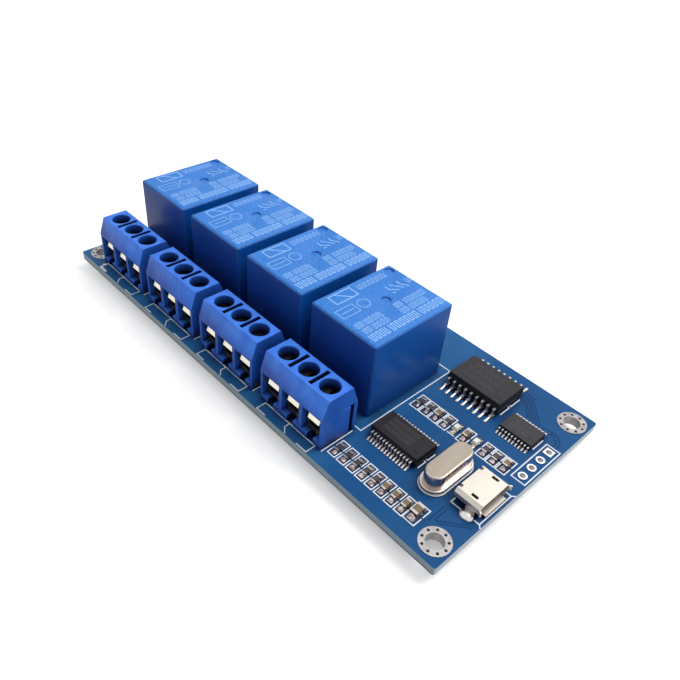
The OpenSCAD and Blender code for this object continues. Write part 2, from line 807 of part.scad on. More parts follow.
// Shell folded from sheet: a tube with a closed back, lips at the mouth, latch
// windows in the top and a soldered foot on each side.
module usb_shell() {
  window = [1.25, 0.55];
  window_back = 2.0;
  window_y = 2.55;
  back_notch = [0.5, 0.7];
  color([0.9, 0.89, 0.86])
  translate([usb_mouth - usb_l, usb_y, top + usb_lift])
  difference() {
    union() {
      translate([usb_l / 2, 0, 0])
      difference() {
        along_x(usb_l) usb_outline(0);
        translate([usb_sheet, 0, 0]) along_x(usb_l) usb_outline(usb_sheet);
      }
      usb_lips();
      // side feet, bent out from the walls and down to the board
      for (s = [-1, 1])
        translate([usb_foot_x - usb_mouth + usb_l, s * usb_w / 2, -usb_lift]) {
          translate([-usb_foot[0] / 2, s > 0 ? -usb_sheet : -usb_foot[1], 0])
            cube([usb_foot[0], usb_foot[1] + usb_sheet, usb_sheet]);
          translate([-usb_foot[0] / 2, s > 0 ? -usb_sheet : 0, 0])
            cube([usb_foot[0], usb_sheet, usb_lift + usb_h / 2]);
        }
    }
    for (s = [-1, 1]) {
      translate([usb_l - window_back - window[0] / 2, s * window_y - window[1] / 2, usb_h - cut])
        cube([window[0], window[1], 2 * cut]);
      translate([-cut, s * window_y - back_notch[1] / 2, usb_h - 2 * usb_sheet])
        cube([back_notch[0] + cut, back_notch[1], 2 * usb_sheet + cut]);
    }
  }
}

// Moulded insert: a block at the back and a tongue towards the mouth.
module usb_tongue() {
  block_w = usb_w - 2 * (usb_sheet + usb_taper + usb_block_play);
  tongue_l = usb_l - usb_sheet - usb_block_l - usb_tongue_back;
  color([0.1, 0.1, 0.11])
  translate([usb_mouth - usb_l + usb_sheet, usb_y, top + usb_lift]) {
    translate([0, -block_w / 2, usb_sheet]) cube([usb_block_l, block_w, usb_h - 3 * usb_sheet]);
    translate([usb_block_l / 2, -usb_tongue_w / 2, usb_h / 2])
      cube([usb_block_l / 2 + tongue_l, usb_tongue_w, usb_tongue_t]);
  }
}

module usb_contacts() {
  contact_w = 0.3;
  contact_l = 2.2;
  color([0.85, 0.7, 0.35])
  translate([usb_mouth - usb_l + usb_sheet + usb_block_l, usb_y,
             top + usb_lift + usb_h / 2 - usb_contact_t])
    for (k = [-2:2])
      translate([0, k * usb_contact_pitch - contact_w / 2, 0])
        cube([contact_l, contact_w, usb_contact_t]);
}

// ---- small parts ---------------------------------------------------------

module at_places(places) {
  for (p = places) translate([end_x - p[0], p[1], seat]) children();
}

module small_body(size) {
  translate([-size[1] / 2, -size[0] / 2 + cap_wrap, cap_wrap])
    cube([size[1], size[0] - 2 * cap_wrap, size[2]]);
}

// Two end caps that wrap round a small body.
module small_ends(size) {
  difference() {
    for (s = [-1, 1])
      translate([0, s * (size[0] - size[3]) / 2, size[2] / 2 + cap_wrap])
        cube([size[1] + 2 * cap_wrap, size[3], size[2] + 2 * cap_wrap], center = true);
    small_body(size);
  }
}

module resistor_bodies() {
  color([0.12, 0.12, 0.12]) at_places(resistor_places) small_body(resistor_size);
}

module resistor_ends() {
  color([0.85, 0.85, 0.85]) at_places(resistor_places) small_ends(resistor_size);
}

module capacitor_bodies() {
  color([0.6, 0.48, 0.34]) {
    at_places(capacitor_places) small_body(capacitor_size);
    at_places([bulk_capacitor_place]) small_body(bulk_capacitor_size);
  }
}

module capacitor_ends() {
  color([0.85, 0.85, 0.85]) {
    at_places(capacitor_places) small_ends(capacitor_size);
    at_places([bulk_capacitor_place]) small_ends(bulk_capacitor_size);
  }
}

module led_bodies() {
  color([0.92, 0.92, 0.88]) at_places(led_places) small_body(led_size);
}

module led_ends() {
  color([0.85, 0.8, 0.6]) at_places(led_places) small_ends(led_size);
}

module led_lenses() {
  color([0.95, 0.95, 0.85])
  at_places(led_places)
    translate([0, 0, led_size[2] + cap_wrap + led_lens[2] / 2])
      cube([led_lens[1], led_lens[0], led_lens[2]], center = true);
}

pcb();
mounting_lands();
header_lands();
smd_lands();
solder_joints();
relay_cover(1);  // relay_1_cover
relay_cover(2);  // relay_2_cover
relay_cover(3);  // relay_3_cover
relay_cover(4);  // relay_4_cover
relay_base(1);  // relay_1_base
relay_base(2);  // relay_2_base
relay_base(3);  // relay_3_base
relay_base(4);  // relay_4_base
relay_pins(1);  // relay_1_pins
relay_pins(2);  // relay_2_pins
relay_pins(3);  // relay_3_pins
relay_pins(4);  // relay_4_pins
terminal_housing(1);  // terminal_1_housing
terminal_housing(2);  // terminal_2_housing
terminal_housing(3);  // terminal_3_housing
terminal_housing(4);  // terminal_4_housing
terminal_cages(1);  // terminal_1_cages
terminal_cages(2);  // terminal_2_cages
terminal_cages(3);  // terminal_3_cages
terminal_cages(4);  // terminal_4_cages
terminal_screws(1);  // terminal_1_screws
terminal_screws(2);  // terminal_2_screws
terminal_screws(3);  // terminal_3_screws
terminal_screws(4);  // terminal_4_screws
terminal_leaves(1);  // terminal_1_leaves
terminal_leaves(2);  // terminal_2_leaves
terminal_leaves(3);  // terminal_3_leaves
terminal_leaves(4);  // terminal_4_leaves
chip_body(driver_chip, [0.17, 0.17, 0.17]);  // driver_chip_body
chip_leads(driver_chip, driver_lead_t);  // driver_chip_leads
chip_body(bridge_chip, [0.16, 0.16, 0.16]);  // bridge_chip_body
chip_leads(bridge_chip, fine_lead_t);  // bridge_chip_leads
chip_body(logic_chip, [0.19, 0.18, 0.17]);  // logic_chip_body
chip_leads(logic_chip, fine_lead_t);  // logic_chip_leads
crystal_can();
crystal_base();
crystal_leads();
usb_shell();
usb_tongue();
usb_contacts();
resistor_bodies();
resistor_ends();
capacitor_bodies();
capacitor_ends();
led_bodies();
led_ends();
led_lenses();
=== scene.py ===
"""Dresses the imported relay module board: finishes, printed legends, copper and solder."""

import math

import bmesh
import bpy
from mathutils import Matrix, Vector


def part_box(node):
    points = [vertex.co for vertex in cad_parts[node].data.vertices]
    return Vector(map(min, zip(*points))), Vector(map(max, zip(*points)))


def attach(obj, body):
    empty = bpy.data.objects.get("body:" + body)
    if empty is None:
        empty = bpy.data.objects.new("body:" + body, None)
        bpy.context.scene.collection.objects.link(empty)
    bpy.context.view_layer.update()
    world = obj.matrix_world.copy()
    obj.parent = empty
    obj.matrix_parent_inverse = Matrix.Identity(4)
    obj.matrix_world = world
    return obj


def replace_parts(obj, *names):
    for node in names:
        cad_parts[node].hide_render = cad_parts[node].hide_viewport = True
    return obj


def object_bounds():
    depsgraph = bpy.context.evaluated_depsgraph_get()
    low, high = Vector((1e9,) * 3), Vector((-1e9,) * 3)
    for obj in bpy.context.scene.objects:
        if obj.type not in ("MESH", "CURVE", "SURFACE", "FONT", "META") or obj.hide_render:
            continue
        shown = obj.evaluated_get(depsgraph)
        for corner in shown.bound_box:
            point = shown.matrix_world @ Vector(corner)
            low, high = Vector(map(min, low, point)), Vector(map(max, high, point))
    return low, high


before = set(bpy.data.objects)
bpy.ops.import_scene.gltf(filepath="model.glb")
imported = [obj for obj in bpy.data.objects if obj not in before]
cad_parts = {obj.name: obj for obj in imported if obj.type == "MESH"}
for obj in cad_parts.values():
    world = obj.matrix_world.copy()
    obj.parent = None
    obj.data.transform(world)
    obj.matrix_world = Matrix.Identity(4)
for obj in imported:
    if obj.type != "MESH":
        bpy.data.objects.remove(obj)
cad_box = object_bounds()

# ---------------------------------------------------------------------------
# Circuit board. Glass laminate, drilled, plated and coated on both faces with
# blue solder mask. The mask is satin and a little deeper where no copper lies
# under it, and the sawn edges show the bare laminate.

MM = 0.001


def srgb(r, g, b):
    """A colour given as 0 to 255 a channel, as the linear light that a shader takes."""

    def channel(v):
        v /= 255
        return v / 12.92 if v <= 0.04045 else ((v + 0.055) / 1.055) ** 2.4

    return (channel(r), channel(g), channel(b), 1.0)


class Finish:
    """A procedural material on Object coordinates, built up node by node."""

    def __init__(self, name, roughness=0.5, metallic=0.0, specular=0.5):
        """Starts from one shader, with these values over the whole piece."""
        self.material = bpy.data.materials.new(name)
        self.material.use_nodes = True
        self.tree = self.material.node_tree
        self.shader = self.tree.nodes["Principled BSDF"]
        self.shader.inputs["Roughness"].default_value = roughness
        self.shader.inputs["Metallic"].default_value = metallic
        self.shader.inputs["Specular IOR Level"].default_value = specular
        self.place = self.add("ShaderNodeTexCoord").outputs["Object"]

    def add(self, kind, inputs=None, **settings):
        """A new node with its inputs and its settings."""
        made = self.tree.nodes.new(kind)
        for key, value in settings.items():
            setattr(made, key, value)
        for key, value in (inputs or {}).items():
            self.plug(value, made.inputs[key])
        return made

    def plug(self, value, socket):
        """Links an output, or sets a plain value, on an input socket."""
        if isinstance(value, bpy.types.NodeSocket):
            self.tree.links.new(value, socket)
        else:
            socket.default_value = value

    def noise(self, per_metre, detail=3.0, roughness=0.5, stretch=None):
        """Noise with so many waves to the metre; stretch scales its axes."""
        place = self.place
        if stretch:
            place = self.add("ShaderNodeMapping", {"Vector": place, "Scale": stretch}).outputs[0]
        made = self.add("ShaderNodeTexNoise", {
            "Vector": place, "Scale": per_metre, "Detail": detail, "Roughness": roughness})
        return made.outputs["Fac"]

    def ramp(self, value, low, high, at_low=0.0, at_high=1.0):
        """Turns the range low to high into at_low to at_high, and holds it at the ends."""
        made = self.add("ShaderNodeMapRange", {
            "Value": value, "From Min": low, "From Max": high,
            "To Min": at_low, "To Max": at_high})
        return made.outputs["Result"]

    def mix(self, share, first, second):
        """The first colour where the share is 0, the second where it is 1."""
        made = self.add("ShaderNodeMix", data_type="RGBA")
        self.plug(share, made.inputs[0])
        self.plug(first, made.inputs[6])
        self.plug(second, made.inputs[7])
        return made.outputs[2]

    def math(self, operation, *values):
        made = self.add("ShaderNodeMath", operation=operation)
        for value, socket in zip(values, made.inputs):
            self.plug(value, socket)
        return made.outputs[0]

    def along(self, vector, axis):
        """A vector's share along X, Y or Z."""
        return self.add("ShaderNodeSeparateXYZ", {"Vector": vector}).outputs[axis]

    def facing(self, axis):
        """The surface normal's share along an axis."""
        return self.along(self.add("ShaderNodeNewGeometry").outputs["Normal"], axis)

    def above(self, height, soft):
        """0 under a height in metres, 1 over it, with a soft step."""
        return self.ramp(self.along(self.place, "Z"), height - soft, height + soft)

    def painted_shade(self, reach, low=0.35, high=0.9):
        """Painted shade: 1 deep in corners and holes, 0 out in the open, found by ambient
        occlusion.
        """
        seen = self.add("ShaderNodeAmbientOcclusion", {"Distance": reach}).outputs["AO"]
        return self.ramp(seen, low, high, 1.0, 0.0)

    def paint(self, colour):
        self.plug(colour, self.shader.inputs["Base Color"])

    def mottle(self, per_metre, darker, paler, detail=3.0):
        """Paints the piece in two shades that run into each other."""
        self.paint(self.mix(self.noise(per_metre, detail), darker, paler))

    def gloss(self, value):
        self.plug(value, self.shader.inputs["Roughness"])

    def bump(self, height, distance, strength=1.0):
        """Raises the surface's shading by a height of 0 to 1 times a distance."""
        made = self.add("ShaderNodeBump", {
            "Height": height, "Distance": distance, "Strength": strength})
        self.plug(made.outputs[0], self.shader.inputs["Normal"])


def dress(node, finish):
    """Gives a CAD node its finish."""
    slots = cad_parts[node].data.materials
    slots.clear()
    slots.append(finish.material)


board_low, board_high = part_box("pcb")
board_top = board_high.z
relays_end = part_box("relay_4_cover")[1].x
LOWER_EDGE = 0.3 * MM  # the darker strip low on the sawn edges
WEAVE_PER_METRE = 900.0
MASK_OVER_COPPER = srgb(46, 109, 167)
MASK_OVER_LAMINATE = srgb(14, 76, 134)
MASK_WEAVE_AND_SHADE = srgb(4, 30, 62)
SAWN_GLASS = (srgb(108, 127, 137), srgb(147, 168, 175))
SAWN_LOW = srgb(89, 88, 92)
SAWN_END_PAINTED_LIGHT = srgb(178, 189, 196)

mask = Finish("blue_solder_mask", roughness=0.4, specular=0.12)
past_relays = mask.ramp(mask.along(mask.place, "X"), relays_end, relays_end + 6 * MM, 1.0, 0.35)
pour = mask.math("MULTIPLY", mask.ramp(mask.noise(120, 2.0), 0.36, 0.56, 0.75, 1.0), past_relays)
warp, weft = (
    mask.add("ShaderNodeTexWave", {"Vector": mask.place, "Scale": WEAVE_PER_METRE,
                                   "Distortion": 1.5}, bands_direction=axis).outputs["Fac"]
    for axis in "XY")
weave = mask.math("MULTIPLY", warp, weft)
mask_colour = mask.mix(pour, MASK_OVER_LAMINATE, MASK_OVER_COPPER)
mask_colour = mask.mix(mask.ramp(weave, 0.0, 0.6, 0.22, 0.0), mask_colour, MASK_WEAVE_AND_SHADE)
# Painted shade: the mask is painted darker deep in corners and beside tall parts.
mask_colour = mask.mix(mask.painted_shade(2.5 * MM), mask_colour, MASK_WEAVE_AND_SHADE)
glass = mask.mix(mask.noise(2600, 4.0, 0.7, (0.15, 0.15, 1.0)), *SAWN_GLASS)
glass = mask.mix(mask.above(board_low.z + LOWER_EDGE, 0.12 * MM), SAWN_LOW, glass)
# Painted light: the sawn ends that face +X are painted paler than the long edges.
glass = mask.mix(mask.ramp(mask.facing("X"), 0.5, 0.9), glass, SAWN_END_PAINTED_LIGHT)
on_edge = mask.ramp(mask.math("ABSOLUTE", mask.facing("Z")), 0.5, 0.4)
mask.paint(mask.mix(on_edge, mask_colour, glass))
mask.gloss(mask.ramp(mask.noise(400), 0.3, 0.7, 0.34, 0.48))
mask.bump(weave, 0.004 * MM)
dress("pcb", mask)


class Recipe:
    """A Geometry Nodes tree with named inputs that turns a drawing into a solid mesh."""

    def __init__(self, name, **sizes):
        self.tree = bpy.data.node_groups.new(name, "GeometryNodeTree")
        face = self.tree.interface
        face.new_socket("Drawing", in_out="INPUT", socket_type="NodeSocketGeometry")
        for title in sizes:
            made = face.new_socket(title, in_out="INPUT", socket_type="NodeSocketFloat")
            made.default_value = sizes[title]
        face.new_socket("Finish", in_out="INPUT", socket_type="NodeSocketMaterial")
        face.new_socket("Solid", in_out="OUTPUT", socket_type="NodeSocketGeometry")
        self.given = self.add("NodeGroupInput").outputs

    add = Finish.add
    plug = Finish.plug
    math = Finish.math

    def end(self, geometry):
        """Realizes the instances and gives them the finish."""
        solid = self.add("GeometryNodeRealizeInstances", {"Geometry": geometry}).outputs[0]
        solid = self.add("GeometryNodeSetMaterial", {
            "Geometry": solid, "Material": self.given["Finish"]}).outputs[0]
        self.add("NodeGroupOutput", {"Solid": solid})

    def make(self, name, drawing, finish, slot, **sizes):
        """Runs the tree on a drawing and leaves a plain mesh that rides on the board."""
        maker = bpy.data.objects.new("maker", drawing)
        bpy.context.scene.collection.objects.link(maker)
        step = maker.modifiers.new("recipe", "NODES")
        step.node_group = self.tree
        for item in self.tree.interface.items_tree:
            if item.name in sizes:
                step[item.identifier] = sizes[item.name]
            elif item.name == "Finish":
                step[item.identifier] = finish.material
        bpy.context.view_layer.update()
        ready = maker.evaluated_get(bpy.context.evaluated_depsgraph_get())
        mesh = bpy.data.meshes.new_from_object(ready)
        bpy.data.objects.remove(maker)
        seat(name, mesh)


def seat(name, mesh):
    """Puts a finished mesh in the scene, on the board's body."""
    mesh.name = name
    piece = bpy.data.objects.new(name, mesh)
    bpy.context.scene.collection.objects.link(piece)
    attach(piece, "root")
    return piece


def line_drawing(lines, z):
    """A mesh of bare edges at z metres along lines, each a list of (x, y) in millimetres."""
    points, edges = [], []
    for line in lines:
        first = len(points)
        points += [(x * MM, y * MM, z) for x, y in line]
        edges += [(k, k + 1) for k in range(first, len(points) - 1)]
    mesh = bpy.data.meshes.new("drawing")
    mesh.from_pydata(points, edges, [])
    return mesh


INK_W, INK_H = 0.2 * MM, 0.02 * MM

# Every printed or etched line is a low square-ended bar along an edge.
strokes = Recipe("printed_strokes", Width=INK_W, Height=INK_H)
ends = strokes.add("GeometryNodeInputMeshEdgeVertices").outputs
run = strokes.add("ShaderNodeVectorMath", operation="SUBTRACT")
strokes.plug(ends["Position 2"], run.inputs[0])
strokes.plug(ends["Position 1"], run.inputs[1])
keep = strokes.add("GeometryNodeCaptureAttribute", domain="EDGE")
keep.capture_items.new("VECTOR", "run")
strokes.plug(strokes.given["Drawing"], keep.inputs[0])
strokes.plug(run.outputs[0], keep.inputs[1])
lift = strokes.add("ShaderNodeCombineXYZ", {
    "Z": strokes.math("MULTIPLY", strokes.given["Height"], 0.5)}).outputs[0]
middle = strokes.add("GeometryNodeInputPosition").outputs[0]
middle = strokes.add("ShaderNodeVectorMath", {0: middle, 1: lift}, operation="ADD").outputs[0]
dots = strokes.add("GeometryNodeMeshToPoints", {"Mesh": keep.outputs[0], "Position": middle},
                   mode="EDGES").outputs[0]
span = strokes.add("ShaderNodeVectorMath", {0: keep.outputs[1]},
                   operation="LENGTH").outputs["Value"]
heading = strokes.add("FunctionNodeAlignRotationToVector", {"Vector": keep.outputs[1]},
                      axis="X", pivot_axis="Z").outputs[0]
order = strokes.math("MODULO", strokes.add("GeometryNodeInputIndex").outputs[0], 7.0)
uneven = strokes.math("MULTIPLY_ADD", order, 0.05, 1.0)  # no two tops lie in one plane
size = strokes.add("ShaderNodeCombineXYZ", {
    "X": strokes.math("ADD", span, strokes.given["Width"]),
    "Y": strokes.given["Width"],
    "Z": strokes.math("MULTIPLY", strokes.given["Height"], uneven)}).outputs[0]
bar = strokes.add("GeometryNodeMeshCube").outputs[0]
strokes.end(strokes.add("GeometryNodeInstanceOnPoints", {
    "Points": dots, "Instance": bar, "Rotation": heading, "Scale": size}).outputs[0])


def oblong(x0, y0, x1, y1):
    """One line round a rectangle."""
    return [(x0, y0), (x1, y0), (x1, y1), (x0, y1), (x0, y0)]


def brackets(x, y, half_w, half_l, gap=0.25):
    """The two facing brackets printed round a small part."""
    return [[(x - half_w, y + s * gap), (x - half_w, y + s * half_l),
             (x + half_w, y + s * half_l), (x + half_w, y + s * gap)] for s in (-1, 1)]


def corners(node):
    """Lowest and highest corner of a node, in millimetres."""
    return [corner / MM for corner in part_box(node)]


def solids_of(node):
    """Lowest and highest corners, in millimetres, of each separate solid in a node."""
    shape = bmesh.new()
    shape.from_mesh(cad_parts[node].data)
    bmesh.ops.remove_doubles(shape, verts=shape.verts, dist=1e-7)
    boxes = []
    for vert in shape.verts:
        vert.tag = False
    for seed in shape.verts:
        if seed.tag:
            continue
        seed.tag = True
        island = [seed]
        for vert in island:
            for edge in vert.link_edges:
                other = edge.other_vert(vert)
                if not other.tag:
                    other.tag = True
                    island.append(other)
        spans = [[v.co[axis] / MM for v in island] for axis in range(3)]
        boxes.append(([min(v) for v in spans], [max(v) for v in spans]))
    shape.free()
    return boxes


def centre_of(low, high):
    """Centre of the box between two corners."""
    return [(a + b) / 2 for a, b in zip(low, high)]


# White legend on the top face: brackets round the small parts, corner lines
# round the larger ones, and a contact symbol in front of each terminal.
CHANNELS = (1, 2, 3, 4)
LARGE_PART_W = 1.2  # parts wider than this have wider brackets
NOTCH = 0.25  # the step in a chip's end line
BLOT_W, BLOT_H = 0.5 * MM, 0.03 * MM
legend = []
for node in ("resistor_bodies", "capacitor_bodies"):
    for low, high in solids_of(node):
        x, y, _ = centre_of(low, high)
        if high[0] - low[0] > LARGE_PART_W:
            legend += brackets(x, y, 1.12, 1.96)
        else:
            legend += brackets(x, y, 0.9 if y > 0 else 0.81, 1.83)
for low, high in solids_of("led_bodies"):
    x, y, _ = centre_of(low, high)
    legend.append([(x - 0.65, y - 1.65), (x + 0.65, y - 1.65)])
for chip, reach, notched in (("driver_chip", 2.9, True), ("bridge_chip", 2.1, True),
                             ("logic_chip", 1.45, False)):
    low, high = corners(f"{chip}_body")
    x, y = high.x + 0.15, (low.y + high.y) / 2
    if notched:
        legend += [[(x, y + s * reach), (x, y + s * NOTCH), (x - NOTCH, y + s * NOTCH)]
                   for s in (-1, 1)]
    else:
        legend.append([(x, y - reach), (x, y + reach)])
low, high = corners("header_lands")
legend.append(oblong(low.x - 0.5, low.y - 0.55, high.x + 0.55, high.y + 0.55))
low, high = corners("crystal_can")
x, y, _ = centre_of(low, high)
bend, straight = (high.x - low.x) / 2 + 0.02, (high.y - low.y - high.x + low.x) / 2
turns = [math.radians(5 * step) for step in range(37)]
legend.append([(x + bend * math.cos(a), y + straight + bend * math.sin(a)) for a in turns]
              + [(x - bend * math.cos(a), y - straight - bend * math.sin(a)) for a in turns]
              + [(x + bend, y + straight)])
low, high = corners("usb_shell")
rear, front, y0, y1 = low.x + 0.1, board_high.x / MM - 0.55, low.y + 0.9, high.y - 0.9
legend.append([(rear, y0 + 0.95), (rear, y0), (low.x + 2.3, y0)])
legend.append([(front - 0.9, y0), (front, y0), (front, y1), (front - 0.9, y1)])
legend.append([(front, y0), (front + 0.45, y0 - 0.45)])
legend.append([(front, y1), (front + 0.45, y1 + 0.45)])
legend.append([(rear, y1 - 0.95), (rear, y1), (low.x + 2.3, y1)])
first_low, last_high = corners("relay_1_cover")[0], corners("relay_4_cover")[1]
legend.append(oblong(first_low.x - 1.5, first_low.y - 2.8, last_high.x + 1.5, last_high.y + 1.55))
channel_x = [sum(corner.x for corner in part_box(f"terminal_{n}_cages")) / 2 / MM for n in CHANNELS]
foot = board_low.y / MM + 0.2
for n, x in zip(CHANNELS, channel_x):
    low, high = corners(f"terminal_{n}_housing")
    y = low.y
    legend.append([(high.x, y + 0.1), (high.x, high.y - 0.8)])
    legend.append([(x - 4.15, foot), (x - 6.25, foot), (x - 6.25, y), (x + 6.5, y),
                   (x + 6.5, foot), (x + 4.15, foot)])
    legend.append([(x + 0.1, y), (x + 0.1, y - 1.1), (x + 1.15, foot)])
x = channel_x[0]
blots = [[(x - 6.2, foot + 0.3), (x - 5.5, foot + 0.2)],
         [(x - 5.2, foot + 0.15), (x - 4.2, foot + 0.1)],
         [(x - 6.55, foot + 1.1), (x - 6.3, foot + 1.5)]]  # ink that ran by the first terminal
ink = Finish("legend_ink", roughness=0.6)
ink.mottle(3000, srgb(232, 240, 248), srgb(253, 254, 255), detail=2.0)
strokes.make("legend", line_drawing(legend, board_top), ink, "laminate", Width=INK_W, Height=INK_H)
strokes.make("legend_blots", line_drawing(blots, board_top), ink, "laminate",
             Width=BLOT_W, Height=BLOT_H)

# Tracks lie under the mask: a slanting bundle from the small chip, two that
# bend to the header, a few by the socket, and power tracks on the underside.
LOGIC_PITCH = 0.65
TRACK_UNDER_LEAD = 0.2
TRACK_W, TRACK_H = 0.22 * MM, 0.012 * MM
POWER_W, POWER_H = 2.1 * MM, 0.03 * MM
low, high = corners("logic_chip_leads")
header_high = corners("header_lands")[1]
start_y = high.y - TRACK_UNDER_LEAD
tracks = []
for k in range(5):
    x, turn = low.x + 1.42 + LOGIC_PITCH * k, high.y + 1.1
    tracks.append([(x, start_y), (x, turn), (x - 4.3, turn + 4.3), (x - 4.3, turn + 5.2)])
for k, (start, rise) in enumerate(((5.0, 1.1), (6.3, 0.6))):
    x, y, far = low.x + start, high.y + rise, header_high.x - 0.5 - 0.55 * k
    tracks.append([(x - 0.1, start_y), (x - 0.1, y - 0.2), (x + 0.3, y), (far - 1.9, y + 0.2),
                   (far - 1.2, y), (far, y - 1.3), (far, header_high.y - 0.2)])
land_low, land_high = corners("mounting_lands")
x, y = land_high.x - 5.2, land_low.y + 5.1
tracks += [[(x + 0.9, y + 0.25), (x + 4.6, y + 3.4)], [(x + 0.35, y + 0.35), (x + 3.9, y + 3.4)],
           [(x + 0.1, y + 0.3), (x + 0.1, y + 3.1)], [(x - 0.5, y - 0.3), (x - 0.5, y + 3.2)]]
track_mask = Finish("mask_on_tracks", roughness=0.4, specular=0.12)
track_mask.mottle(300, srgb(9, 54, 104), srgb(12, 64, 118))
strokes.make("signal_tracks", line_drawing(tracks, board_top), track_mask, "laminate",
             Width=TRACK_W, Height=TRACK_H)

power = []
for n in CHANNELS:
    clamps = sorted(centre_of(*solid) for solid in solids_of(f"terminal_{n}_cages"))
    pins = sorted((centre_of(*solid) for solid in solids_of(f"relay_{n}_pins")),
                  key=lambda pin: pin[1])
    contacts = sorted(pins[-2:])
    power.append([clamps[1][:2], pins[0][:2]])
    for clamp, pin, side in ((clamps[0], contacts[0], -1), (clamps[2], contacts[1], 1)):
        x = pin[0] + side * 0.4
        power.append([clamp[:2], (x, clamp[1] + 4.0), (x, pin[1] - 1.0), pin[:2]])
strokes.make("power_tracks", line_drawing(power, board_low.z - POWER_H), track_mask, "laminate",
             Width=POWER_W, Height=POWER_H)

# Under the leads and the small parts the copper is etched away, and the mask
# is painted nearly black there, partly as bare laminate and partly as painted
# shade under the parts.
CHIPS = ("driver_chip", "bridge_chip", "logic_chip")
SMALL_PARTS = ("resistor_bodies", "capacitor_bodies", "led_bodies")
CLEARING_H = 0.006 * MM
narrow, wide = [], []
for node in SMALL_PARTS:
    for low, high in solids_of(node):
        x, y, _ = centre_of(low, high)
        narrow.append([(x, y - 1.0), (x, y + 1.0)])
for chip in CHIPS:
    low, high = corners(f"{chip}_leads")
    wide += [[(low.x + 1.0, y), (high.x - 1.0, y)] for y in (low.y + 0.9, high.y - 0.9)]
# Nearly black sheets: partly bare laminate, partly painted shade under the parts.
bare_mask_and_shade = Finish("laminate_and_painted_shade", roughness=0.4, specular=0.12)
bare_mask_and_shade.mottle(900, srgb(6, 18, 46), srgb(12, 30, 66))
for name, lines, width in (("clearings_and_shade_narrow", narrow, 1.3), ("clearings_and_shade_wide", wide, 2.0)):
    strokes.make(name, line_drawing(lines, board_top), bare_mask_and_shade, "laminate",
                 Width=width * MM, Height=CLEARING_H)

# ---------------------------------------------------------------------------
# Copper and solder. Lands and plated holes are copper dipped in solder, so
# they are bright and a little uneven, and every lead and end cap sits in a
# small fillet of solder.

tin = Finish("tinned_copper", roughness=0.3, metallic=0.75)
tin.mottle(900, srgb(142, 138, 138), srgb(196, 190, 190))
tin.gloss(tin.ramp(tin.noise(700), 0.3, 0.7, 0.22, 0.42))
tin.bump(tin.noise(1500, 2.0), 0.02 * MM, 0.5)
dress("mounting_lands", tin)
dress("smd_lands", tin)

header_tin = Finish("levelled_tin", roughness=0.3, metallic=1.0)
header_tin.mottle(900, srgb(206, 205, 208), srgb(244, 243, 243))
dress("header_lands", header_tin)

solder = Finish("solder", roughness=0.25, metallic=0.9)
solder.mottle(1200, srgb(204, 200, 202), srgb(242, 238, 238))
solder.gloss(solder.ramp(solder.noise(900), 0.3, 0.7, 0.2, 0.36))
solder.bump(solder.noise(1800, 2.0), 0.03 * MM, 0.6)
dress("solder_joints", solder)

reflowed = Finish("reflowed_solder", roughness=0.25, metallic=0.9)
grey = reflowed.ramp(reflowed.noise(2600, 3.0, 0.6), 0.38, 0.62)
reflowed.paint(reflowed.mix(grey, srgb(118, 106, 110), srgb(236, 222, 224)))
reflowed.bump(reflowed.noise(1800, 2.0), 0.03 * MM, 0.6)

# Solder runs up the end of every lead and cap in a hollow slope, as wide as
# its land. One tree makes them all from a unit block, whose underside sinks
# a little into the land.
slopes = Recipe("solder_slopes")
span = slopes.add("GeometryNodeInputNamedAttribute", data_type="FLOAT_VECTOR")
span.inputs["Name"].default_value = "span"
block = slopes.add("GeometryNodeMeshCube", {"Vertices X": 7, "Vertices Y": 9}).outputs[0]
axes = slopes.add("ShaderNodeSeparateXYZ", {
    "Vector": slopes.add("GeometryNodeInputPosition").outputs[0]}).outputs
across = slopes.math("MULTIPLY", slopes.math("ABSOLUTE", axes["X"]), 2.0)
along = slopes.math("MULTIPLY", slopes.math("ABSOLUTE", axes["Y"]), 2.0)
slope = slopes.math("MAXIMUM", slopes.math("SUBTRACT", 1.0, along), 0.0)
slope = slopes.math("POWER", slope, 1.5)
crown = slopes.math("SUBTRACT", 1.0, slopes.math("POWER", across, 4.0))
height = slopes.math("MULTIPLY", slopes.math("MULTIPLY", slope, crown),
                     slopes.math("GREATER_THAN", axes["Z"], 0.0))
height = slopes.math("ADD", height, slopes.math("MULTIPLY_ADD", axes["Z"], 0.12, -0.06))
place = slopes.add("ShaderNodeCombineXYZ", {
    "X": axes["X"], "Y": axes["Y"], "Z": height}).outputs[0]
block = slopes.add("GeometryNodeSetPosition", {"Geometry": block, "Position": place}).outputs[0]
block = slopes.add("GeometryNodeSetShadeSmooth", {"Geometry": block}).outputs[0]
dots = slopes.add("GeometryNodeMeshToPoints", {"Mesh": slopes.given["Drawing"]}).outputs[0]
slopes.end(slopes.add("GeometryNodeInstanceOnPoints", {
    "Points": dots, "Instance": block, "Scale": span.outputs[0]}).outputs[0])

# Width, length and height of the fillets at each chip's leads. A joint is its
# (x, y) and its fillet.
FILLETS = ((0.5, 2.9, 0.24), (0.37, 0.78, 0.16), (0.32, 0.48, 0.16))
lead_joints, cap_joints = [], []
for chip, fillet in zip(CHIPS, FILLETS):
    middle_y = sum(corner.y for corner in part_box(f"{chip}_body")) / 2 / MM
    for low, high in solids_of(f"{chip}_leads"):
        x, y, _ = centre_of(low, high)
        lead_joints.append(((x, low[1] if y < middle_y else high[1]), fillet))
bodies = [centre_of(*solid) for node in SMALL_PARTS for solid in solids_of(node)]
for node in ("resistor_ends", "capacitor_ends", "led_ends"):
    for low, high in solids_of(node):
        x, y, _ = centre_of(low, high)
        body = min(bodies, key=lambda centre: math.hypot(centre[0] - x, centre[1] - y))
        fillet = (high[0] - low[0] + 0.08, 1.22, 0.7 * (high[2] - low[2]))
        cap_joints.append(((x, low[1] if y < body[1] else high[1]), fillet))
land_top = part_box("smd_lands")[1].z
